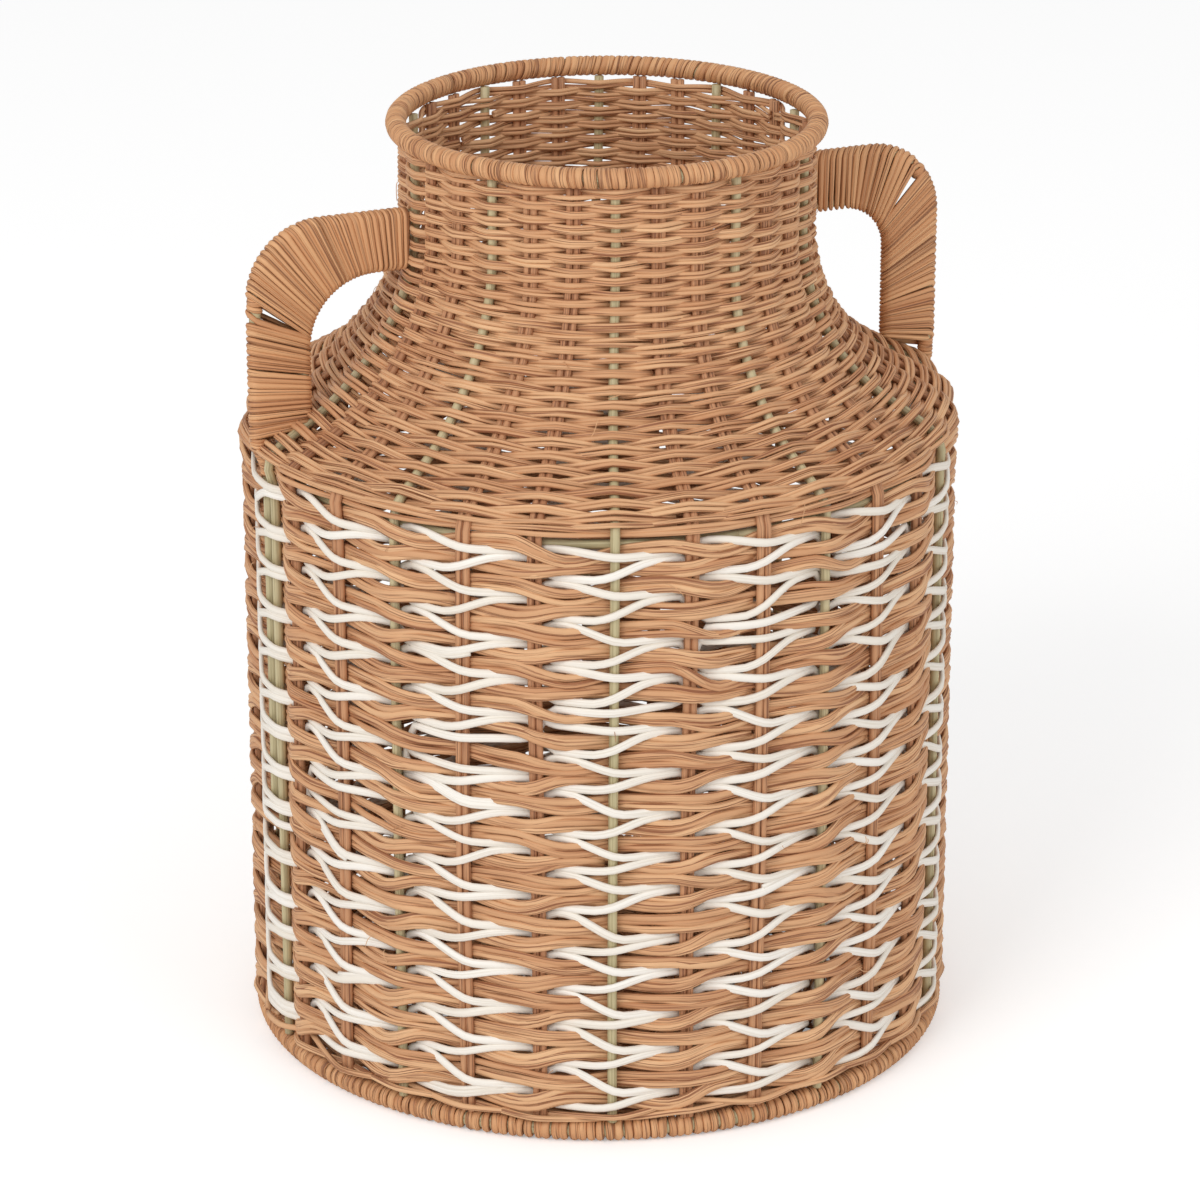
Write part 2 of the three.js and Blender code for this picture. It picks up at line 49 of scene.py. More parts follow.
SHOULDER_BEND = 10.0
NECK_BEND = 86.0
LEAN_ASIDE = Vector((3.1, -1.3, 0.0))
LEAN_START = 255.0
LEAN_RISE = 110.0
STAKE_BOTTOM = 9.2
STAKE_TOP_HEIGHT = 386.0
STAKE_COUNT = 30
STAKE_STEP = 2 * pi / STAKE_COUNT
STAKE_SAMPLE = 6.0
FIRST_STAKE = radians(-92.3)
STAKES_PER_CANE = 3
CANE_RADIUS = 1.95
CANE_SWAY = 0.5
CANE_SWAY_LENGTH = 70.0
CANE_SEED = 3
LEG_PUSH = radians(5.3)
LEG_PUSH_TOP = 262.0
LEG_PUSH_FADE = 60.0
LEG_BULGE = 4.2
LEG_BULGE_HEIGHT = 268.0
LEG_BULGE_SPREAD = 10.0
LEG_BULGE_POWER = 14
SIDE_BULGE = 4.0
SIDE_BULGE_HEIGHT = 277.0
SIDE_BULGE_SPREAD = 11.0
SIDE_BULGE_POWER = 12
SIDE_PUSHED = radians(67)
CANE_GREEN = (188, 176, 136)
CANE_STRAW = (212, 198, 158)
CANE_SHADE = (138, 121, 84)
STRAND_END = 0.1
JOINED_WITHIN = 1e-6
GRAIN_SHIFT = 37.0
GRAIN_SIDE_SHIFT = 5.3
FIBRE_SHEEN = 0.35
FIBRE_SCALE = (0.018, 1.25, 1.25)
FIBRE_DETAIL = 3.0
PATCH_SCALE = (0.02, 0.12, 0.12)
PATCH_DETAIL = 2.0
PATCH_RANGE = (0.3, 0.7)
PATCH_SHARE = 0.4
STRAND_SHARE = 0.6
NOISE_ROUGHNESS = 0.6
GROOVE_RANGE = (0.49, 0.38)
GROOVE_HEIGHT = 0.3
slope_inset = (SHOULDER_BEND + NECK_BEND) * (1 - cos(SHOULDER_LEAN))
slope_length = (BODY_RADIUS - NECK_RADIUS - slope_inset) / sin(SHOULDER_LEAN)
slope_start = BODY_TOP + SHOULDER_BEND * SHOULDER_LEAN
slope_end = slope_start + slope_length
neck_start = slope_end + NECK_BEND * SHOULDER_LEAN


def clamp(value, low, high):
    return min(max(value, low), high)


def ease(share):
    """A share from 0 to 1 that starts and stops softly."""
    share = clamp(share, 0.0, 1.0)
    return share * share * (3 - 2 * share)


def mix(a, b, share):
    return a + (b - a) * share


def fade(z, height, spread):
    """A share from 1 at a height to 0 well above and below it."""
    return exp(-(((z - height) / spread) ** 2))


def stake_line(distance):
    """Radius, height and lean of the wall's middle at a distance along it from the floor, in mm."""
    turned_in = clamp(distance - BODY_TOP, 0, SHOULDER_BEND * SHOULDER_LEAN) / SHOULDER_BEND
    on_slope = clamp(distance - slope_start, 0, slope_length)
    turned_back = clamp(distance - slope_end, 0, NECK_BEND * SHOULDER_LEAN) / NECK_BEND
    still_leant = SHOULDER_LEAN - turned_back
    r = BODY_RADIUS - SHOULDER_BEND * (1 - cos(turned_in)) - on_slope * sin(SHOULDER_LEAN)
    r -= NECK_BEND * (cos(still_leant) - cos(SHOULDER_LEAN))
    z = min(distance, BODY_TOP) + SHOULDER_BEND * sin(turned_in) + on_slope * cos(SHOULDER_LEAN)
    z += NECK_BEND * (sin(SHOULDER_LEAN) - sin(still_leant)) + max(distance - neck_start, 0)
    return r, z, turned_in - turned_back


def spot(azimuth, r, z, leans=1.0):
    """A point at an azimuth from the front, -Y, towards +X. The hand-made neck leans a little aside."""
    upright = Vector((r * sin(azimuth), -r * cos(azimuth), z))
    return upright + LEAN_ASIDE * leans * ease((z - LEAN_START) / LEAN_RISE)


def on_wall(azimuth, distance, out=0.0, across=0.0):
    """A point out from the wall's middle and aside. The shoulder swells at the legs and at one side."""
    r, z, lean = stake_line(distance)
    at_leg = abs(sin(azimuth)) ** LEG_BULGE_POWER
    at_side = max(cos(azimuth - SIDE_PUSHED), 0.0) ** SIDE_BULGE_POWER
    r += LEG_BULGE * at_leg * fade(z, LEG_BULGE_HEIGHT, LEG_BULGE_SPREAD)
    r += SIDE_BULGE * at_side * fade(z, SIDE_BULGE_HEIGHT, SIDE_BULGE_SPREAD)
    point = spot(azimuth, r + out * cos(lean), z + out * sin(lean))
    return point + Vector((cos(azimuth), sin(azimuth), 0)) * across


def strand(points, radius, tone):
    """One strand with its two ends cut square."""
    cut = radius * STRAND_END
    first = points[0] + (points[0] - points[1]).normalized() * cut
    last = points[-1] + (points[-1] - points[-2]).normalized() * cut
    return [first, *points, last], [0.0] + [radius] * len(points) + [0.0], tone


def round_strands(name, strands, sides, flat=1.0):
    """One piece of many strands, flatter than round by a share, with their tone and run of fibres."""
    curve = bpy.data.curves.new(name, "CURVE")
    curve.dimensions = "3D"
    curve.bevel_depth = MM
    curve.bevel_resolution = sides // 2 - 2
    ring = np.arange(sides) * 2 * pi / sides
    tones = []
    grains = []
    for number, (points, radii, tone) in enumerate(strands):
        places = np.ones((len(points), 4))
        places[:, :3] = np.array(points) * MM
        spline = curve.splines.new("POLY")
        spline.points.add(len(points) - 1)
        spline.points.foreach_set("co", places.ravel())
        spline.points.foreach_set("radius", radii)
        steps = np.linalg.norm(np.diff(places[:, :3], axis=0), axis=1) / MM
        grain = np.empty((len(points), sides, 3))
        grain[:, :, 0] = np.concatenate([[0.0], np.cumsum(steps)])[:, None] + number * GRAIN_SHIFT
        grain[:, :, 1] = max(radii) * np.cos(ring) + number * GRAIN_SIDE_SHIFT
        grain[:, :, 2] = max(radii) * np.sin(ring)
        grains.append(grain.reshape(-1, 3))
        tones.append(np.full(len(points) * sides, tone))
    drawn = bpy.data.objects.new(name, curve)
    bpy.context.scene.collection.objects.link(drawn)
    drawn_now = drawn.evaluated_get(bpy.context.evaluated_depsgraph_get())
    mesh = bpy.data.meshes.new_from_object(drawn_now)
    bpy.data.objects.remove(drawn)
    bpy.data.curves.remove(curve)
    places = np.empty(len(mesh.vertices) * 3)
    mesh.vertices.foreach_get("co", places)
    rings = places.reshape(-1, sides, 3)
    middles = rings.mean(axis=1, keepdims=True)
    outward = middles * (1, 1, 0)
    outward /= np.linalg.norm(outward, axis=2, keepdims=True)
    rings -= outward * ((rings - middles) * outward).sum(axis=2, keepdims=True) * (1 - flat)
    mesh.vertices.foreach_set("co", places)
    return strand_piece(name, mesh, np.concatenate(tones), np.concatenate(grains))


def strand_piece(name, mesh, tones, grains):
    """Writes tone and grain on a mesh, joins its ends shut and puts it in the scene."""
    mesh.name = name
    mesh.attributes.new("tone", "FLOAT", "POINT").data.foreach_set("value", tones)
    mesh.attributes.new("grain", "FLOAT_VECTOR", "POINT").data.foreach_set("vector", grains.ravel())
    whole = bmesh.new()
    whole.from_mesh(mesh)
    bmesh.ops.remove_doubles(whole, verts=whole.verts, dist=JOINED_WITHIN)
    whole.to_mesh(mesh)
    whole.free()
    mesh.materials.clear()
    mesh.shade_smooth()
    piece = bpy.data.objects.new(name, mesh)
    bpy.context.scene.collection.objects.link(piece)
    return piece


def paint(color):
    """Linear colour from the 0 to 255 values that a colour is seen as."""
    linear = [c / 255 / 12.92 if c <= 10 else ((c / 255 + 0.055) / 1.055) ** 2.4 for c in color]
    return (*linear, 1.0)


def fibre_finish(name, deep, pale, groove, roughness, groove_depth, bump):
    """Rattan: tone differs from strand to strand, with patches, and fine grooves run along it."""
    material = bpy.data.materials.new(name)
    material.use_nodes = True
    nodes = material.node_tree.nodes
    links = material.node_tree.links
    shader = nodes["Principled BSDF"]
    shader.inputs["Roughness"].default_value = roughness
    shader.inputs["Specular IOR Level"].default_value = FIBRE_SHEEN

    def attribute(kind):
        node = nodes.new("ShaderNodeAttribute")
        node.attribute_name = kind
        return node

    grain = attribute("grain")
    tone = attribute("tone")

    def noise_along(scale, detail):
        mapping = nodes.new("ShaderNodeMapping")
        mapping.inputs["Scale"].default_value = scale
        links.new(grain.outputs["Vector"], mapping.inputs["Vector"])
        node = nodes.new("ShaderNodeTexNoise")
        node.inputs["Scale"].default_value = 1.0
        node.inputs["Detail"].default_value = detail
        node.inputs["Roughness"].default_value = NOISE_ROUGHNESS
        links.new(mapping.outputs["Vector"], node.inputs["Vector"])
        return node.outputs["Fac"]

    def ramp(value, start, end):
        node = nodes.new("ShaderNodeMapRange")
        node.inputs["From Min"].default_value = start
        node.inputs["From Max"].default_value = end
        links.new(value, node.inputs["Value"])
        return node.outputs["Result"]

    def blend(share, low, high):
        node = nodes.new("ShaderNodeMix")
        node.data_type = "RGBA"
        links.new(share, node.inputs[0])
        for color, socket in ((low, node.inputs[6]), (high, node.inputs[7])):
            if isinstance(color, tuple):
                socket.default_value = color
            else:
                links.new(color, socket)
        return node.outputs[2]

    def combine(a, b, operation):
        node = nodes.new("ShaderNodeMath")
        node.operation = operation
        for value, socket in ((a, node.inputs[0]), (b, node.inputs[1])):
            if isinstance(value, float):
                socket.default_value = value
            else:
                links.new(value, socket)
        return node.outputs[0]

    fibres = noise_along(FIBRE_SCALE, FIBRE_DETAIL)
    patches = noise_along(PATCH_SCALE, PATCH_DETAIL)
    by_strand = combine(tone.outputs["Fac"], STRAND_SHARE, "MULTIPLY")
    by_patch = combine(ramp(patches, *PATCH_RANGE), PATCH_SHARE, "MULTIPLY")
    body = blend(combine(by_strand, by_patch, "ADD"), paint(deep), paint(pale))
    dark = combine(ramp(fibres, *GROOVE_RANGE), groove_depth, "MULTIPLY")
    links.new(blend(dark, body, paint(groove)), shader.inputs["Base Color"])
    raised = nodes.new("ShaderNodeBump")
    raised.inputs["Strength"].default_value = bump
    raised.inputs["Distance"].default_value = GROOVE_HEIGHT * MM
    links.new(fibres, raised.inputs["Height"])
    links.new(raised.outputs["Normal"], shader.inputs["Normal"])
    return material


def fit(piece, finish, slot, *nodes):
    """Gives a piece its finish, and puts it in the place of the solids that it stands for."""
    piece.data.materials.append(finish)
    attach(piece, "root")
    if nodes:
        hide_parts(*nodes)


def numbered(name, first, last):
    return [f"{name}_{number:02d}" for number in range(first, last + 1)]


def even_steps(start, end, step):
    """Distances from start to end in equal steps, of about the step given."""
    count = max(int((end - start) / step), 2)
    return [mix(start, end, i / count) for i in range(count + 1)]


stake_end = neck_start + STAKE_TOP_HEIGHT - stake_line(neck_start)[1]
stakes = [FIRST_STAKE + STAKE_STEP * k for k in range(STAKE_COUNT)]
pushed = {0: LEG_PUSH}
cane_stakes = range(0, STAKE_COUNT, STAKES_PER_CANE)
cane_finish = fibre_finish(
    "cane_skin", CANE_GREEN, CANE_STRAW, CANE_SHADE, roughness=0.42, groove_depth=0.5, bump=0.15
)
rng = random.Random(CANE_SEED)
canes = []
for k in cane_stakes:
    sway = rng.uniform(0, 2 * pi)
    points = []
    for distance in even_steps(STAKE_BOTTOM, stake_end, STAKE_SAMPLE):
        upright_again = ease((distance - LEG_PUSH_TOP) / LEG_PUSH_FADE)
        azimuth = stakes[k] + pushed.get(k, 0.0) * (1 - upright_again)
        aside = CANE_SWAY * sin(distance / CANE_SWAY_LENGTH + sway)
        points.append(on_wall(azimuth, distance, 0.0, aside))
    canes.append(strand(points, CANE_RADIUS, rng.random()))
upright_canes = round_strands("upright_canes", canes, sides=12)
fit(upright_canes, cane_finish, "cane", *numbered("upright", 1, 10))

# Doubled reeds: between the canes stand pairs of thinner peeled reeds, redder than the weaving. Each
# pair is one reed doubled at the foot, so its two halves lie close side by side up to the rim.
REED_RADIUS = 1.5
REED_SPREAD = 1.45
REED_UNEVEN = (0.94, 1.06)
REED_SWAY = 0.7
REED_SWAY_LENGTH = 60.0
REED_WAVE = 0.15
REED_WAVE_LENGTH = 25.0
REED_TONE_APART = 0.4
REED_DEEP = (178, 122, 86)
REED_PALE = (214, 162, 120)
REED_GROOVE = (112, 66, 44)
reed_finish = fibre_finish(
    "peeled_reed", REED_DEEP, REED_PALE, REED_GROOVE, roughness=0.62, groove_depth=0.75, bump=0.5
)
reeds = []
for k in range(STAKE_COUNT):
    if k in cane_stakes:
        continue
    sway = rng.uniform(0, 2 * pi)
    tone = rng.random()
    for side in (-1, 1):
        points = []
        for distance in even_steps(STAKE_BOTTOM, stake_end, STAKE_SAMPLE):
            across = side * REED_SPREAD + REED_SWAY * sin(distance / REED_SWAY_LENGTH + sway)
            out = REED_WAVE * sin(distance / REED_WAVE_LENGTH + sway * side)
            points.append(on_wall(stakes[k], distance, out, across))
        radius = REED_RADIUS * rng.uniform(*REED_UNEVEN)
        reeds.append(strand(points, radius, mix(tone, rng.random(), REED_TONE_APART)))
reed_pairs = round_strands("reed_pairs", reeds, sides=8)
fit(reed_pairs, reed_finish, "reed", *numbered("doubled_reed", 1, 10))

# Foot ring: a hoop of cane on the floor under the stakes, wound all the way round with one flat
# strip of rattan peel, in about two hundred and fifty turns that crowd together here and there.
FOOT_RADIUS = 143.4
FOOT_HEIGHT = 4.75
FOOT_TURNS = 250
FOOT_STRIP = 3.75
FOOT_SEED = 21
HOOP_RADIUS = 3.1
HOOP_STEPS = 150
HOOP_LOOSE = 0.12
WINDING_INSIDE = 3.3
STRIP_PROFILE = ((-0.5, 0.0), (-0.36, 0.68), (0.0, 1.0), (0.36, 0.68), (0.5, 0.0))
STRIP_THICKNESS = 1.4
STRIP_SLANT = 0.8
STRIP_UNEVEN = (0.86, 1.1)
STEPS_PER_TURN = 12
TURN_ROUNDING = 1e-4
TURN_GRAIN = 30.0
TURN_GRAIN_SIDE = 1.7
WRAP_DEEP = (198, 139, 95)
WRAP_PALE = (232, 181, 132)
WRAP_GROOVE = (124, 76, 49)
wrap_finish = fibre_finish(
    "rattan_peel", WRAP_DEEP, WRAP_PALE, WRAP_GROOVE, roughness=0.55, groove_depth=0.85, bump=0.5
)


def hoop(name, ring_radius, height, radius, tone):
    """A level hoop of round cane, its two ends cut and laid against each other."""
    turns = [2 * pi * i / HOOP_STEPS for i in range(HOOP_STEPS + 1)]
    points = [spot(turn, ring_radius, height) for turn in turns]
    return round_strands(name, [strand(points, radius, tone)], sides=10)


def wind(name, turns, steps, width, thickness, loose, lay, seed):
    """A strip wound straight by a spin, then laid where lay(turn, share, sideways, above) says. Turns are
    shifted, narrowed and toned at random, and change over to the next turn's tone half way round."""
    chance = random.Random(seed)
    shifts = [chance.gauss(0, loose) for _ in range(2 * turns + 4)]
    widths = [chance.uniform(*STRIP_UNEVEN) for _ in range(turns + 3)]
    shades = [chance.random() for _ in range(turns + 3)]
    wound = bmesh.new()
    across = wound.verts.layers.float.new("across")
    above = wound.verts.layers.float.new("above")
    profile = []
    for x, y in STRIP_PROFILE:
        corner = wound.verts.new((0.0, 0.0, 1.0 + y))
        corner[across] = x * width
        corner[above] = y * thickness
        profile.append(corner)
    corners = len(profile)
    edges = [wound.edges.new((profile[i], profile[(i + 1) % corners])) for i in range(corners)]
    bmesh.ops.spin(
        wound, geom=profile + edges, cent=(0, 0, 0), axis=(1, 0, 0), dvec=(1.0 / steps, 0, 0),
        angle=2 * pi * turns, steps=turns * steps, use_merge=False,
    )
    bmesh.ops.holes_fill(wound, edges=wound.edges, sides=corners)
    tones = []
    grains = []
    for corner in wound.verts:
        turn = corner.co.x
        number = int(turn + TURN_ROUNDING)
        share = turn - number
        half = int(2 * turn + TURN_ROUNDING)
        shift = mix(shifts[half], shifts[half + 1], ease(2 * turn - half))
        broad = mix(widths[number], widths[number + 1], ease(share))
        sideways = corner[across]
        corner.co = lay(turn + shift, share, sideways * broad, corner[above]) * MM
        tones.append(mix(shades[number], shades[number + 1], ease(4 * share - 1.5)))
        grains.append((turn * TURN_GRAIN, sideways + TURN_GRAIN_SIDE * turn, corner[above]))
    bmesh.ops.recalc_face_normals(wound, faces=wound.faces)
    mesh = bpy.data.meshes.new(name)
    wound.to_mesh(mesh)
    wound.free()
    return strand_piece(name, mesh, np.array(tones), np.array(grains))


def hoop_winding(name, ring_radius, height, turns, width, thickness, seed):
    """A strip wound round a level hoop."""
    def lay(turn, share, sideways, above):
        around = 2 * pi * share + pi
        azimuth = 2 * pi * turn / turns + (sideways - STRIP_SLANT * sin(around)) / ring_radius
        reach = WINDING_INSIDE + above
        return spot(azimuth, ring_radius + reach * cos(around), height + reach * sin(around))

    return wind(name, turns, STEPS_PER_TURN, width, thickness, HOOP_LOOSE, lay, seed)


foot_core = hoop("foot_core", FOOT_RADIUS, FOOT_HEIGHT, HOOP_RADIUS, tone=0.4)
fit(foot_core, cane_finish, "cane", "base_hoop")
foot_winding = hoop_winding(
    "foot_winding", FOOT_RADIUS, FOOT_HEIGHT, FOOT_TURNS, FOOT_STRIP, STRIP_THICKNESS, FOOT_SEED
)
fit(foot_winding, wrap_finish, "wrapping", "base_wrap")

# Woven base: reed spokes run in from the foot ring, and thin strands are woven round and round over
# and under them from the middle out. It closes the vase just above the floor.
BASE_EDGE = 137.0
BASE_MIDDLE = 8.0
BASE_HEIGHT = 4.6
BASE_ROW_PITCH = 3.3
BASE_STRAND = 1.65
BASE_LIFT = 2.2
SPOKE_RADIUS = 1.3
SPOKE_STEPS = 8
SHORT_SPOKE_START = 34.0
MIDDLE_ROWS_WITHIN = 36.0
MIDDLE_WAVES = 5
STEPS_PER_WAVE = 8
NATURAL_DEEP = (198, 141, 99)
NATURAL_PALE = (238, 193, 147)
NATURAL_GROOVE = (136, 80, 50)
natural_finish = fibre_finish(
    "natural_rattan", NATURAL_DEEP, NATURAL_PALE, NATURAL_GROOVE, roughness=0.58, groove_depth=0.9, bump=0.5
)
base = []
for k in range(STAKE_COUNT):
    inner = BASE_MIDDLE if k in cane_stakes else SHORT_SPOKE_START
    radii = [mix(inner, BASE_EDGE, i / SPOKE_STEPS) for i in range(SPOKE_STEPS + 1)]
    points = [spot(stakes[k], r, BASE_HEIGHT) for r in radii]
    base.append(strand(points, SPOKE_RADIUS, rng.random()))
base_rows = int((BASE_EDGE - BASE_MIDDLE) / BASE_ROW_PITCH) + 1
for row in range(base_rows):
    ring_radius = BASE_MIDDLE + row * BASE_ROW_PITCH
    waves = STAKE_COUNT / 2 if ring_radius > MIDDLE_ROWS_WITHIN else MIDDLE_WAVES
    side = 1 if row % 2 else -1
    samples = int(waves * STEPS_PER_WAVE)
    points = []
    for i in range(samples):
        azimuth = stakes[row % STAKE_COUNT] + 2 * pi * i / samples
        lift = side * BASE_LIFT * cos(waves * (azimuth - FIRST_STAKE))
        points.append(spot(azimuth, ring_radius, BASE_HEIGHT + lift))
    base.append(strand(points, BASE_STRAND, rng.random()))
woven_base = round_strands("woven_base", base, sides=6)
fit(woven_base, natural_finish, "natural_rattan", "base_weave")

# Body weave: natural rattan strands, six to each white crossing, which pass behind every second stake
# and in front of the others. They crowd together between the crossings, in waves.
LEFT_LOWEST = 16.3
LEFT_HIGHEST = 260.0
RIGHT_LOWEST = 22.5
RIGHT_HIGHEST = 253.0
PITCH_COUNT = 14
CROSSING_LOOSE = 1.1
CROSSING_LOOSEST = 2.2
CROSSING_ROOM = 3.1
SLANT_GAPS = {0: 5, 1: 7, 2: 9, 3: 10, 4: 12, 5: 13}
SLANT_ROOM = 22.0
SLANT_UNDER_LEFT = 2.4
SLANT_UNDER_RIGHT = 1.2
GAP_RISE = 2.0
COLUMNS = STAKE_COUNT // 2
COLUMN_STEP = 24.0
HALF_STEP = COLUMN_STEP / 2
LEFT_CROSSING = -7.0
RIGHT_CROSSING = 8.2
BETWEEN_CROSSINGS = COLUMN_STEP + LEFT_CROSSING - RIGHT_CROSSING
NATURAL_RADIUS = 1.55
NATURAL_FLAT = 0.74
NATURAL_UNEVEN = (0.88, 1.12)
NATURAL_LOOSE = 0.35
NATURAL_RIPPLE = 0.3
RIPPLES_ROUND = 7
NATURAL_STAGGER = 0.75
STRANDS_PER_HALF = 3
STRANDS_PER_PITCH = 2 * STRANDS_PER_HALF
BODY_SAMPLE = 1.5
BODY_SEED = 11
HUG = 0.97
LEG_REACH = 2.4
LEG_STAKES = (0, 15)
LEG_COLUMNS = {
    0: ((-HALF_STEP, -HALF_STEP), (1.2, 0.0), (6.4, 0.0), (HALF_STEP, HALF_STEP)),
    8: ((-HALF_STEP, -HALF_STEP), (-9.2, -HALF_STEP), (0.0, 0.0), (HALF_STEP, HALF_STEP)),
}
rng = random.Random(BODY_SEED)


def crossing_height(lowest, highest, count, number, gap):
    """Height of a column's crossing. Those below and above the slant strand's gap move apart."""
    if gap is None:
        return mix(lowest, highest, number / (count - 1))
    pitch = (highest - lowest - SLANT_ROOM) / (count - 2)
    if number < gap:
        return lowest + pitch * number
    return highest - pitch * (count - 1 - number)


def loosely(height):
    """A height as the hand has left it."""
    return height + clamp(rng.gauss(0, CROSSING_LOOSE), -CROSSING_LOOSEST, CROSSING_LOOSEST)


left = {}
right = {}
for column in range(COLUMNS):
    gap = SLANT_GAPS.get(column)
    for k in range(-1, PITCH_COUNT + 2):
        left[k, column] = loosely(crossing_height(LEFT_LOWEST, LEFT_HIGHEST, PITCH_COUNT + 1, k, gap))
        right[k, column] = loosely(crossing_height(RIGHT_LOWEST, RIGHT_HIGHEST, PITCH_COUNT, k, gap))


def reach_of(k):
    """How far a stake stands out from the wall's middle."""
    if k % STAKE_COUNT in LEG_STAKES:
        return LEG_REACH
    return CANE_RADIUS if k % STAKES_PER_CANE == 0 else REED_RADIUS


def hug(phase):
    """From 1 at a stake through 0 half way to -1 at the next, round over the stakes, straight between."""
    return asin(HUG * cos(phase)) / asin(HUG)


def table(rows, value):
    """Reads a value off rows of pairs, straight between them."""
    for (a, b), (c, d) in zip(rows, rows[1:]):
        if value <= c:
            return mix(b, d, (value - a) / (c - a))
    return rows[-1][1]


def column_at(degrees):
    """The column of an even stake that an angle falls in, and the angle from that stake."""
    turns = (degrees + HALF_STEP) / COLUMN_STEP
    return floor(turns) % COLUMNS, (turns - floor(turns)) * COLUMN_STEP - HALF_STEP


def weave(column, local, radius):
    """How far out a strand lies that passes in front of the even stakes and behind the odd ones. Where
    a handle's leg stands beside a stake, it passes both."""
    if column in LEG_COLUMNS:
        local = table(LEG_COLUMNS[column], local)
    phase = pi * local / HALF_STEP
    even = reach_of(2 * column)
    odd = reach_of(2 * column + (1 if local > 0 else -1))
    return hug(phase) * (mix(odd, even, (1 + cos(phase)) / 2) + radius)


def between_crossings(at_left, at_right, column, local):
    """Height between the crossings left and right of the even stakes, where each is a list by column."""
    if local < LEFT_CROSSING:
        share = (local + COLUMN_STEP - RIGHT_CROSSING) / BETWEEN_CROSSINGS
        return mix(at_right[column - 1], at_left[column], ease(share))
    if local > RIGHT_CROSSING:
        share = (local - RIGHT_CROSSING) / BETWEEN_CROSSINGS
        return mix(at_right[column], at_left[(column + 1) % COLUMNS], ease(share))
    share = (local - LEFT_CROSSING) / (RIGHT_CROSSING - LEFT_CROSSING)
    return mix(at_left[column], at_right[column], ease(share))


def slant_left(column):
    """Height of the slant strand left of a stake, which is close under the crossing above it."""
    return left[SLANT_GAPS[column], column] - SLANT_UNDER_LEFT


def slant_right(column):
    """Height of the slant strand right of a stake."""
    return left[SLANT_GAPS[column], column] - SLANT_UNDER_RIGHT


def spread(low, high, number, count):
    """Heights of strands side by side between two crossings."""
    return low + CROSSING_ROOM + (number + 0.5) / count * (high - low - 2 * CROSSING_ROOM)


def natural_left(k, place, column):
    """Height of a natural strand left of a stake. The slant strand takes room from the upper half."""
    low = left[k, column]
    high = left[k + 1, column]
    if SLANT_GAPS.get(column) != k + 1:
        return spread(low, high, place, STRANDS_PER_PITCH)
    middle = right[k, column] + GAP_RISE
    if place < STRANDS_PER_HALF:
        return spread(low, middle, place, STRANDS_PER_HALF)
    return spread(middle, slant_left(column), place - STRANDS_PER_HALF, STRANDS_PER_HALF)


def natural_right(k, place, column):
    """Height of a natural strand right of a stake, where the crossings stand half a pitch off."""
    upper = k if place < STRANDS_PER_HALF else k + 1
    low = right[upper - 1, column]
    high = right[upper, column]
    place = (place + STRANDS_PER_HALF) % STRANDS_PER_PITCH
    if SLANT_GAPS.get(column) != upper:
        return spread(low, high, place, STRANDS_PER_PITCH)
    if place < STRANDS_PER_HALF:
        return spread(low, slant_right(column), place, STRANDS_PER_HALF)
    return spread(slant_right(column), high, place - STRANDS_PER_HALF, STRANDS_PER_HALF)


def natural_strand(k, place):
    """Strand number place of pitch k, counted up from the crossing left of the stakes."""
    at_left = [natural_left(k, place, column) + rng.gauss(0, NATURAL_LOOSE) for column in range(COLUMNS)]
    at_right = [natural_right(k, place, column) + rng.gauss(0, NATURAL_LOOSE) for column in range(COLUMNS)]
    radius = NATURAL_RADIUS * rng.uniform(*NATURAL_UNEVEN)
    start = COLUMN_STEP * rng.randrange(COLUMNS)
    ripple = rng.uniform(0, 2 * pi)
    stagger = NATURAL_STAGGER if place % 2 else -NATURAL_STAGGER
    points = []
    for i in range(int(360 / BODY_SAMPLE)):
        degrees = start + i * BODY_SAMPLE
        column, local = column_at(degrees)
        height = between_crossings(at_left, at_right, column, local)
        height += NATURAL_RIPPLE * sin(radians(degrees) * RIPPLES_ROUND + ripple)
        out = -weave(column, local, radius * NATURAL_FLAT)
        out += stagger * sin(pi * local / HALF_STEP) ** 2
        points.append(on_wall(FIRST_STAKE + radians(degrees), height, out))
    return strand(points, radius, rng.random())


naturals = [natural_strand(k, place) for k in range(PITCH_COUNT) for place in range(STRANDS_PER_PITCH)]
half_way = len(naturals) // 2
body_weave_lower = round_strands("body_weave_lower", naturals[:half_way], 8, NATURAL_FLAT)
fit(body_weave_lower, natural_finish, "natural_rattan", *numbered("body_row", 1, 6))
body_weave_upper = round_strands("body_weave_upper", naturals[half_way:], 8, NATURAL_FLAT)
fit(body_weave_upper, natural_finish, "natural_rattan", *numbered("body_row", 7, 11))

# White strands: smooth flat reed painted white, woven in with the natural strands but in front of the
# other stakes. Falling and rising by turns, they draw a ladder of zigzags up every second stake, and
# one of them runs up slantwise through the rows in front.
WHITE_RADIUS = 1.8
WHITE_FLAT = 0.6
WHITE_UNEVEN = (0.92, 1.06)
WHITE_STEP = 1.35
WHITE_LEFT = -9.0
WHITE_RIGHT = 10.0
WHITE_BEHIND = COLUMN_STEP + WHITE_LEFT - WHITE_RIGHT
WHITE_RUN = 10.5
FALL_START = -8.0
RISE_START = -4.0
SLANT_END = 5.5
SPLICE_COUNT = 26
SPLICE_FALLS = 0.5
SPLICE_FROM_LEFT = 0.6
SPLICE_START = (-1, 5)
SPLICE_STOP = (0, 7)
SPLICE_ASIDE = 1.7
SPLICE_THIN = 0.85
WHITE_DEEP = (240, 231, 217)
WHITE_PALE = (252, 247, 239)
WHITE_GROOVE = (216, 203, 184)
white_finish = fibre_finish(
    "white_reed", WHITE_DEEP, WHITE_PALE, WHITE_GROOVE, roughness=0.5, groove_depth=0.45, bump=0.25
)


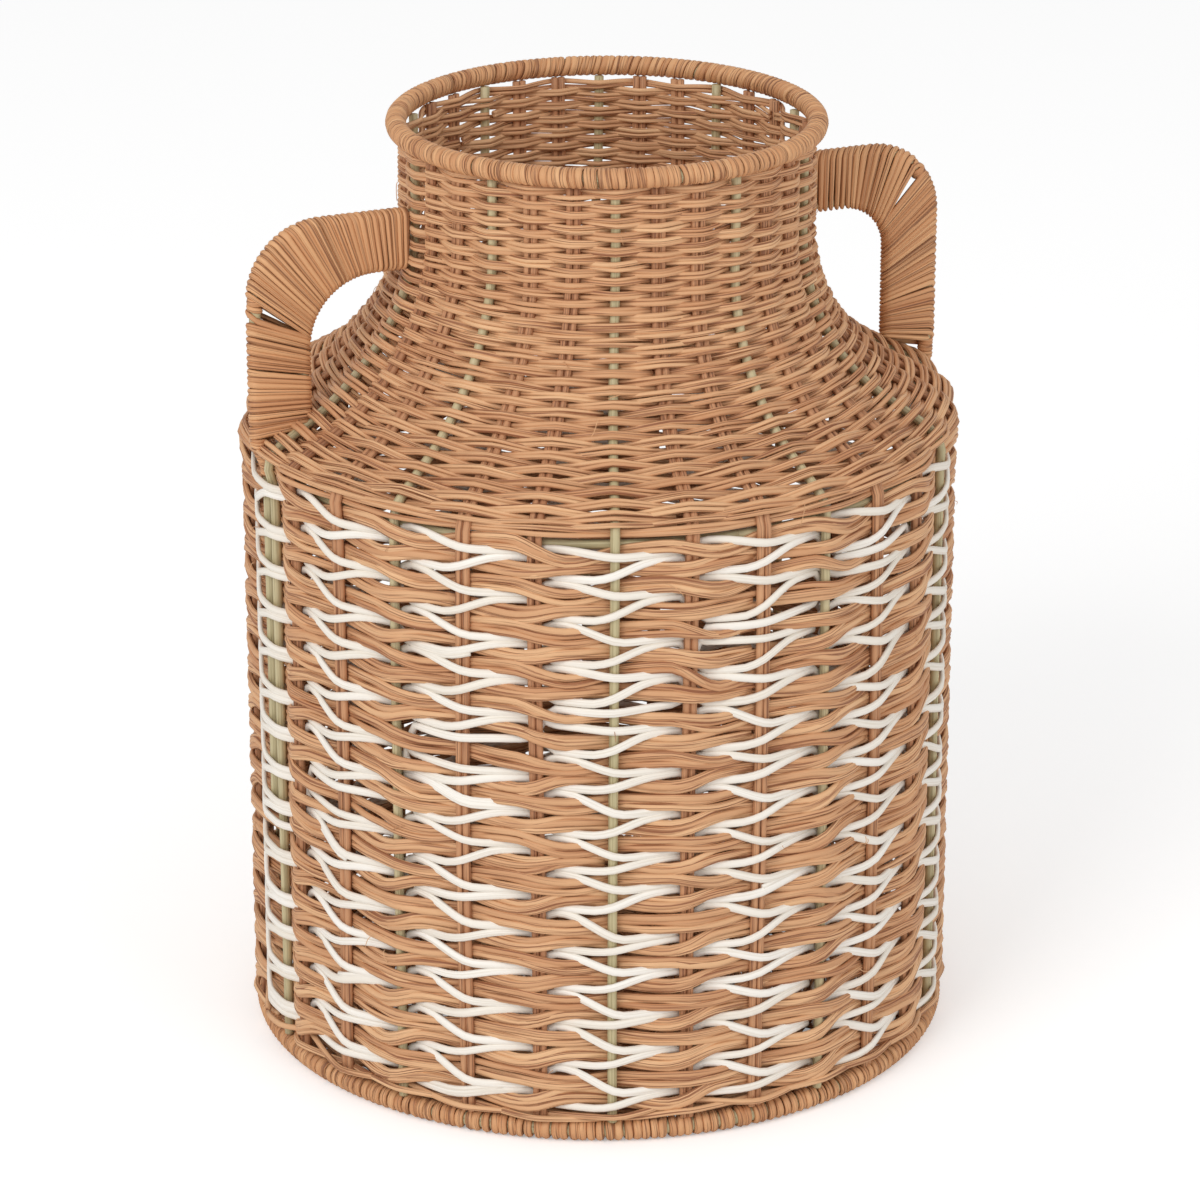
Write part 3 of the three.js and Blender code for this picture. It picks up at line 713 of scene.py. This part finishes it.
def white_ends(k, falls):
    """Heights left and right of each stake of the strand that falls, or else rises, at pitch k."""
    leaves = []
    joins = []
    for column in range(COLUMNS):
        if falls and SLANT_GAPS.get(column) == k + 1:
            start = right[k, column] + GAP_RISE + WHITE_STEP
        else:
            start = left[k + 1 if falls else k, column]
        leaves.append(start + (-WHITE_STEP if falls else WHITE_STEP))
        joins.append(right[k, column] + (WHITE_STEP if falls else -WHITE_STEP))
    return leaves, joins


def white_strand(leaves, joins, early, start, stop, radius):
    """A white strand from one angle to another, in front of the even stakes."""
    points = []
    for i in range(int((stop - start) / BODY_SAMPLE) + 1):
        degrees = start + i * BODY_SAMPLE
        column, local = column_at(degrees)
        if local < WHITE_LEFT:
            share = (local - (WHITE_RIGHT - COLUMN_STEP)) / WHITE_BEHIND
            height = mix(joins[column - 1], leaves[column], ease(share))
        elif local > WHITE_RIGHT:
            share = (local - WHITE_RIGHT) / WHITE_BEHIND
            height = mix(joins[column], leaves[(column + 1) % COLUMNS], ease(share))
        else:
            height = mix(leaves[column], joins[column], ease((local - early) / WHITE_RUN))
        out = weave(column, local, radius * WHITE_FLAT)
        points.append(on_wall(FIRST_STAKE + radians(degrees), height, out))
    return strand(points, radius, rng.random())


whites = []
for k in range(PITCH_COUNT):
    for falls in (True, False):
        leaves, joins = white_ends(k, falls)
        early = FALL_START if falls else RISE_START
        start = COLUMN_STEP * (rng.randrange(COLUMNS) + 0.5)
        stop = start + 360 - BODY_SAMPLE
        radius = WHITE_RADIUS * rng.uniform(*WHITE_UNEVEN)
        whites.append(white_strand(leaves, joins, early, start, stop, radius))
leaves = [slant_left(column) if column in SLANT_GAPS else left[0, column] for column in range(COLUMNS)]
joins = [slant_right(column) if column in SLANT_GAPS else left[0, column] for column in range(COLUMNS)]
whites.append(white_strand(leaves, joins, RISE_START, -HALF_STEP, SLANT_END * COLUMN_STEP, WHITE_RADIUS))
for _ in range(SPLICE_COUNT):
    falls = rng.random() < SPLICE_FALLS
    leaves, joins = white_ends(rng.randrange(PITCH_COUNT), falls)
    aside = rng.choice((-1, 1)) * SPLICE_ASIDE
    leaves = [height + aside for height in leaves]
    joins = [height + aside for height in joins]
    early = FALL_START if falls else RISE_START
    stake = COLUMN_STEP * rng.randrange(COLUMNS)
    from_left = rng.random() < SPLICE_FROM_LEFT
    start = stake - HALF_STEP if from_left else stake - rng.uniform(*SPLICE_START)
    stop = stake + rng.uniform(*SPLICE_STOP) if from_left else stake + HALF_STEP
    whites.append(white_strand(leaves, joins, early, start, stop, WHITE_RADIUS * SPLICE_THIN))
white_weave = round_strands("white_weave", whites, 8, WHITE_FLAT)
fit(white_weave, white_finish, "white_strand", *numbered("white_strand", 1, 11))

# Foot twine: two natural strands twisted round each stake in turn, just above the foot ring, which keep
# the stakes apart before the weaving starts. They lie unevenly, as the hand has left them.
TWINE_HEIGHT = 12.8
TWINE_RADIUS = 1.3
TWINE_LOOSE = 2.4
TWINE_APART = 0.9
TWINE_OUT = 0.8
twine = []
for side in (-1, 1):
    rises = [rng.uniform(-TWINE_LOOSE, TWINE_LOOSE) for _ in range(STAKE_COUNT)]
    points = []
    for i in range(int(360 / BODY_SAMPLE)):
        degrees = i * BODY_SAMPLE
        column, local = column_at(degrees)
        turns = degrees / HALF_STEP
        stake = int(turns)
        rise = mix(rises[stake], rises[(stake + 1) % STAKE_COUNT], ease(turns - stake))
        height = TWINE_HEIGHT + rise + side * TWINE_APART
        out = side * weave(column, local, TWINE_RADIUS) + TWINE_OUT
        points.append(on_wall(FIRST_STAKE + radians(degrees), height, out))
    twine.append(strand(points, TWINE_RADIUS, rng.random()))
foot_twine = round_strands("foot_twine", twine, sides=8)
fit(foot_twine, natural_finish, "natural_rattan")

# Shoulder hoop: a cane bent into a hoop and tied inside the stakes where they turn in, so that the
# shoulder keeps its round. It shows behind the uprights above the last white strand.
SHOULDER_HOOP_HEIGHT = 258.0
SHOULDER_HOOP_GAP = 0.5
inside_stakes = BODY_RADIUS - 2 * CANE_RADIUS - SHOULDER_HOOP_GAP
shoulder_hoop = hoop("shoulder_hoop_cane", inside_stakes, SHOULDER_HOOP_HEIGHT, CANE_RADIUS, tone=0.5)
fit(shoulder_hoop, cane_finish, "cane", "shoulder_hoop")

# Shoulder, throat and neck weave: thin natural strands in pairs, over one stake and under the next, each
# row against the row below. The two rows next to the shoulder hoop are of three strands.
ROW_FIRST = 265.0
ROW_COUNT = 46
ROWS_BELOW_END = 3.0
ROWS_OF_THREE = 2
ROW_STRAND_LOW = 1.16
ROW_STRAND_HIGH = 1.02
ROW_UNEVEN = (0.9, 1.1)
ROW_FLAT = 0.9
ROW_CLOSING = 0.09
ROW_TONE_APART = 0.5
ROW_DRIFTS = ((0.25, 3), (0.2, 8), (0.15, 15))
STRANDS_APART = 1.75
THROAT_SHARE = 0.43
NECK_SHARE = 0.62
NECK_SAMPLE = 2.0
NECK_SEED = 29
rng = random.Random(NECK_SEED)
row_last = stake_end - ROWS_BELOW_END
throat = mix(ROW_FIRST, row_last, THROAT_SHARE)
neck_sheet = mix(ROW_FIRST, row_last, NECK_SHARE)


def neck_row(row):
    """The strands of one row, with the distance along the wall at which it lies."""
    up = row / (ROW_COUNT - 1)
    distance = mix(ROW_FIRST, row_last, up * (1 + ROW_CLOSING) - ROW_CLOSING * up * up)
    thick = mix(ROW_STRAND_LOW, ROW_STRAND_HIGH, up)
    side = 1 if row % 2 else -1
    count = 3 if row < ROWS_OF_THREE else 2
    start = HALF_STEP * (2 * rng.randrange(COLUMNS) + (0 if side < 0 else 1))
    shade = rng.random()
    strands = []
    for number in range(count):
        radius = thick * rng.uniform(*ROW_UNEVEN)
        beside = (number - (count - 1) / 2) * STRANDS_APART * thick
        sways = [rng.uniform(0, 2 * pi) for _ in ROW_DRIFTS]
        points = []
        for i in range(int(360 / NECK_SAMPLE)):
            degrees = start + i * NECK_SAMPLE
            column, local = column_at(degrees)
            turn = radians(degrees)
            drift = sum(size * sin(waves * turn + sway) for (size, waves), sway in zip(ROW_DRIFTS, sways))
            out = side * weave(column, local, radius * ROW_FLAT)
            points.append(on_wall(FIRST_STAKE + turn, distance + beside + drift, out))
        strands.append(strand(points, radius, mix(shade, rng.random(), ROW_TONE_APART)))
    return distance, strands


rows = [neck_row(row) for row in range(ROW_COUNT)]
sheets = (
    ("shoulder_strands", ("shoulder_weave", "shoulder_weave_upper"), 0.0, throat),
    ("throat_strands", ("throat_weave",), throat, neck_sheet),
    ("neck_strands", ("neck_weave", "neck_weave_upper"), neck_sheet, stake_end),
)
for name, nodes, bottom, top in sheets:
    strands = [one for distance, row in rows if bottom <= distance < top for one in row]
    sheet = round_strands(name, strands, 8, ROW_FLAT)
    fit(sheet, natural_finish, "natural_rattan", *nodes)

# Rim: a hoop of cane laid on the ends of the stakes and wound tightly with rattan peel, in about two
# hundred turns.
RIM_RADIUS = 85.8
RIM_HEIGHT = 389.8
RIM_TURNS = 200
RIM_STRIP = 3.2
RIM_STRIP_THICKNESS = 1.05
RIM_SEED = 33
rim_core = hoop("rim_core", RIM_RADIUS, RIM_HEIGHT, HOOP_RADIUS, tone=0.5)
fit(rim_core, cane_finish, "cane", "rim_hoop")
rim_winding = hoop_winding(
    "rim_winding", RIM_RADIUS, RIM_HEIGHT, RIM_TURNS, RIM_STRIP, RIM_STRIP_THICKNESS, RIM_SEED
)
fit(rim_winding, wrap_finish, "wrapping", "rim_wrap")

# Handles: two canes side by side, bent over from the neck and wound together with a flat strip. The
# outer cane runs on down among the stakes as a leg, bound at its top, and the inner one stops on the
# shoulder.
ROD_RADIUS = 2.4
ROD_SAMPLE = 3.0
LEG_TOP = 271.6
LEG_SEATED = 258.0
LEG_BOTTOM = 109.0
HANDLE_STRIP = 3.15
HANDLE_STEPS = 16
HANDLE_LOOSE = 0.07
STRIP_GAP = 0.1
STRIP_STEEPEST = 1.2
ROUND_SHARE = 0.375
CROSS_SHARE = 0.125
INNER_CROWDING = 0.75
INNER_LEAD = 0.8
BINDING_TURNS = 11
BINDING_PITCH = 1.5
BINDING_WIDTH = 1.9
BINDING_OVERLAP = 0.6
BINDING_THICKNESS = 0.9
BINDING_LOOSE = 0.1
BEND_PITCH = 2.5
BEND_WIDTH = 3.0


def rod_place(start, height, drop, bend, length):
    """Radius, height and outward lean along a rod: its arm, its bend, then its drop."""
    arm = drop - bend - start
    if length < arm:
        return start + length, height, pi / 2
    turned = (length - arm) / bend
    if turned < pi / 2:
        return drop - bend + bend * sin(turned), height - bend + bend * cos(turned), pi / 2 - turned
    z = height - bend - (length - arm - bend * pi / 2)
    seated = BODY_RADIUS if drop > BODY_RADIUS else drop
    return mix(drop, seated, ease((LEG_TOP - z) / (LEG_TOP - LEG_SEATED))), z, 0.0


def rod_length(start, height, drop, bend, bottom):
    """Length along a rod from its start down to a height."""
    return drop - bend - start + bend * pi / 2 + height - bend - bottom


def handle(side, azimuth, outer, inner, bottoms, turns, outer_marks, inner_marks, lead, bare, seed):
    """One handle. Outer and inner give each rod's start, height, drop and bend, and bottoms the heights
    where the leg's binding starts and where the inner rod stops. The marks say how far along each rod a
    turn of the winding lies. Lead is how far the strip is ahead of them on its pass at the lower azimuth,
    the back of the left handle and the front of the right one. Bare says where the outer rod takes
    turns of its own at the bend, and how many."""
    for rod, sizes, bottom, tone in (("outer", outer, LEG_BOTTOM, 0.3), ("inner", inner, bottoms[1], 0.6)):
        points = []
        for length in even_steps(0.0, rod_length(*sizes, bottom), ROD_SAMPLE):
            r, z, _ = rod_place(*sizes, length)
            points.append(spot(azimuth, r, z, 0.0))
        cane = round_strands(f"{side}_{rod}_cane", [strand(points, ROD_RADIUS, tone)], sides=12)
        fit(cane, cane_finish, "cane", f"{side}_handle_{rod}_rod")

    def beside(sizes, length, around, reach):
        """A point off a rod's middle, at an angle round the rod from its outer side."""
        r, z, lean = rod_place(*sizes, length)
        out = reach * cos(around)
        point = spot(azimuth, r + out * cos(lean), z + out * sin(lean), 0.0)
        return point + Vector((cos(azimuth), sin(azimuth), 0)) * reach * sin(around)

    def aslant(sizes, length, other_sizes, other_length):
        """How far a strip runs along a rod, for each mm across to the other rod."""
        r, z, lean = rod_place(*sizes, length)
        other_r, other_z, _ = rod_place(*other_sizes, other_length)
        across = (other_r - r) * cos(lean) + (other_z - z) * sin(lean)
        along = (other_r - r) * sin(lean) - (other_z - z) * cos(lean)
        return clamp(along / abs(across), -STRIP_STEEPEST, STRIP_STEEPEST)

    def lay(turn, share, sideways, above):
        """Each turn goes round the outer rod, across to the inner one, round that and back across."""
        second = (share - 0.5) / ROUND_SHARE
        led = ease(second) if share > 0.5 else 1 - ease(share / ROUND_SHARE)
        at_outer = table(outer_marks, turn) + sideways + lead * led
        at_inner = table(inner_marks, turn) + sideways * INNER_CROWDING + INNER_LEAD * lead * led
        reach = ROD_RADIUS + STRIP_GAP + above
        if share < ROUND_SHARE:
            slant = aslant(outer, at_outer, inner, at_inner)
            at_outer -= reach * slant * sin(pi * share / ROUND_SHARE)
            return beside(outer, at_outer, pi * (share / ROUND_SHARE - 0.5), reach)
        if 0.5 <= share < 0.5 + ROUND_SHARE:
            slant = aslant(inner, at_inner, outer, at_outer)
            at_inner -= reach * slant * sin(pi * (share - 0.5) / ROUND_SHARE)
            return beside(inner, at_inner, pi * (second + 0.5), reach)
        along = (share - ROUND_SHARE) / CROSS_SHARE if share < 0.5 else (1 - share) / CROSS_SHARE
        around = pi / 2 if share < 0.5 else -pi / 2
        return beside(outer, at_outer, around, reach).lerp(beside(inner, at_inner, around, reach), along)

    winding = wind(
        f"{side}_handle_winding", turns, HANDLE_STEPS, HANDLE_STRIP, STRIP_THICKNESS, HANDLE_LOOSE, lay, seed
    )
    fit(winding, wrap_finish, "wrapping", f"{side}_handle_wrap")

    def bind(name, start, turns, pitch, width):
        """A strip wound round the outer rod alone, from a distance along it."""
        def bound(turn, share, sideways, above):
            reach = ROD_RADIUS + STRIP_GAP + above
            return beside(outer, start + turn * pitch + sideways, 2 * pi * share, reach)

        binding = wind(
            name, turns, STEPS_PER_TURN, width, BINDING_THICKNESS, BINDING_LOOSE, bound, seed + turns
        )
        fit(binding, wrap_finish, "wrapping")

    leg_start = rod_length(*outer, bottoms[0]) - BINDING_OVERLAP
    bind(f"{side}_leg_binding", leg_start, BINDING_TURNS, BINDING_PITCH, BINDING_WIDTH)
    bind(f"{side}_bend_binding", bare[0], bare[1], BEND_PITCH, BEND_WIDTH)


handle(
    "left", radians(-90), outer=(82.3, 359.0, 149.2, 28.5), inner=(82.3, 340.4, 129.6, 31.5),
    bottoms=(272.0, 276.0), turns=50,
    outer_marks=((0, 1.5), (12.5, 35.2), (30.5, 82.2), (31.4, 91.2), (50, 140.7)),
    inner_marks=((0, 1.5), (7, 17.2), (30.5, 58.7), (31.4, 59.7), (50, 99.2)),
    lead=1.8, bare=(83.2, 2), seed=51,
)
handle(
    "right", radians(90), outer=(86.5, 362.5, 150.6, 27.0), inner=(86.5, 343.2, 132.8, 22.0),
    bottoms=(278.0, 281.0), turns=50,
    outer_marks=((0, 1.0), (11, 31.0), (21.0, 62.0), (21.35, 67.2), (36, 103.0), (50, 141.5)),
    inner_marks=((0, 1.0), (11, 29.5), (20.4, 49.0), (21.4, 49.8), (36, 76.0), (50, 102.5)),
    lead=-5.0, bare=(56.0, 3), seed=61,
)

# Loose fibres: thin hairs of the rattan that have split off the strands and lifted here and there, on
# the body, the shoulder and the neck. Each stays fixed at its root.
HAIR_COUNT = 70
HAIR_RADIUS = 0.16
HAIR_STEPS = 6
HAIR_LOWEST = 20
HAIR_HIGHEST = 400
HAIR_RUN = 0.05
HAIR_CLIMB = 8
HAIR_LIFT = (0.5, 2.5)
HAIR_OUT = 3.6
HAIR_CURL = 0.8
HAIR_SEED = 71
rng = random.Random(HAIR_SEED)
fibres = []
for _ in range(HAIR_COUNT):
    azimuth = rng.uniform(0, 2 * pi)
    distance = rng.uniform(HAIR_LOWEST, HAIR_HIGHEST)
    along = rng.uniform(-HAIR_RUN, HAIR_RUN)
    climb = rng.uniform(-HAIR_CLIMB, HAIR_CLIMB)
    lift = rng.uniform(*HAIR_LIFT)
    points = []
    for i in range(HAIR_STEPS + 1):
        share = i / HAIR_STEPS
        out = HAIR_OUT + lift * sin(pi * share * HAIR_CURL)
        points.append(on_wall(azimuth + along * share, distance + climb * share * share, out))
    fibres.append(strand(points, HAIR_RADIUS, rng.random()))
loose_fibres = round_strands("loose_fibres", fibres, sides=4)
fit(loose_fibres, natural_finish, "natural_rattan")

# Floor, light and camera: a white floor under soft even light, seen from the front left and a
# little above.
FLOOR_HALF = 8.0
FLOOR_WHITE = (0.95, 0.95, 0.95, 1)
FLOOR_GLOW = 0.3
WHITE_LIGHT = (1, 1, 1, 1)
SKY_LIGHT = 0.62
LAMPS_AIM = Vector((0, 0, 0.2))
CAMERA_PLACE = (-0.7463, -1.7887, 0.927)
CAMERA_DOWN = 21.08
CAMERA_TURN = -22.65
CAMERA_LENS = 147.72
CAMERA_SENSOR = 36.0
CAMERA_SHIFT = (0.001, 0.0012)
floor_mesh = bpy.data.meshes.new("floor")
flat = bmesh.new()
bmesh.ops.create_grid(flat, x_segments=1, y_segments=1, size=FLOOR_HALF)
flat.to_mesh(floor_mesh)
flat.free()
floor_piece = bpy.data.objects.new("floor", floor_mesh)
bpy.context.scene.collection.objects.link(floor_piece)
floor_finish = bpy.data.materials.new("pale_floor")
floor_finish.use_nodes = True
floor_nodes = floor_finish.node_tree.nodes
floor_links = floor_finish.node_tree.links
floor_shader = floor_nodes["Principled BSDF"]
floor_shader.inputs["Base Color"].default_value = FLOOR_WHITE
floor_shader.inputs["Roughness"].default_value = 0.9
floor_shader.inputs["Specular IOR Level"].default_value = 0.0
floor_shader.inputs["Emission Color"].default_value = WHITE_LIGHT
floor_rays = floor_nodes.new("ShaderNodeLightPath")
floor_glow = floor_nodes.new("ShaderNodeMath")
floor_glow.operation = "MULTIPLY"
floor_glow.inputs[1].default_value = FLOOR_GLOW
floor_links.new(floor_rays.outputs["Is Camera Ray"], floor_glow.inputs[0])
floor_links.new(floor_glow.outputs[0], floor_shader.inputs["Emission Strength"])
floor_mesh.materials.append(floor_finish)

world = bpy.data.worlds.new("studio")
bpy.context.scene.world = world
world.use_nodes = True
sky = world.node_tree.nodes
sky_links = world.node_tree.links
soft = sky["Background"]
soft.inputs["Color"].default_value = WHITE_LIGHT
soft.inputs["Strength"].default_value = SKY_LIGHT
white = sky.new("ShaderNodeBackground")
white.inputs["Strength"].default_value = 1.0
rays = sky.new("ShaderNodeLightPath")
seen = sky.new("ShaderNodeMath")
seen.operation = "ADD"
seen.use_clamp = True
sky_links.new(rays.outputs["Is Camera Ray"], seen.inputs[0])
sky_links.new(rays.outputs["Is Glossy Ray"], seen.inputs[1])
either = sky.new("ShaderNodeMixShader")
sky_links.new(seen.outputs[0], either.inputs[0])
sky_links.new(soft.outputs[0], either.inputs[1])
sky_links.new(white.outputs[0], either.inputs[2])
sky_links.new(either.outputs[0], sky["World Output"].inputs["Surface"])


def soft_box(name, place, size, power):
    """A square lamp turned towards the vase."""
    lamp = bpy.data.lights.new(name, "AREA")
    lamp.size = size
    lamp.energy = power
    box = bpy.data.objects.new(name, lamp)
    box.location = place
    box.rotation_euler = (LAMPS_AIM - Vector(place)).to_track_quat("-Z", "Y").to_euler()
    bpy.context.scene.collection.objects.link(box)


soft_box("key_light", (-2.1, -1.4, 1.9), size=1.4, power=31)
soft_box("fill_light", (1.0, -2.4, 1.3), size=1.6, power=11)

camera = bpy.data.cameras.new("camera")
camera.lens = CAMERA_LENS
camera.sensor_width = CAMERA_SENSOR
camera.shift_x, camera.shift_y = CAMERA_SHIFT
camera_piece = bpy.data.objects.new("camera", camera)
camera_piece.location = CAMERA_PLACE
camera_piece.rotation_euler = (radians(90 - CAMERA_DOWN), 0, radians(CAMERA_TURN))
bpy.context.scene.collection.objects.link(camera_piece)
bpy.context.scene.camera = camera_piece
bpy.context.scene.view_settings.view_transform = "Standard"
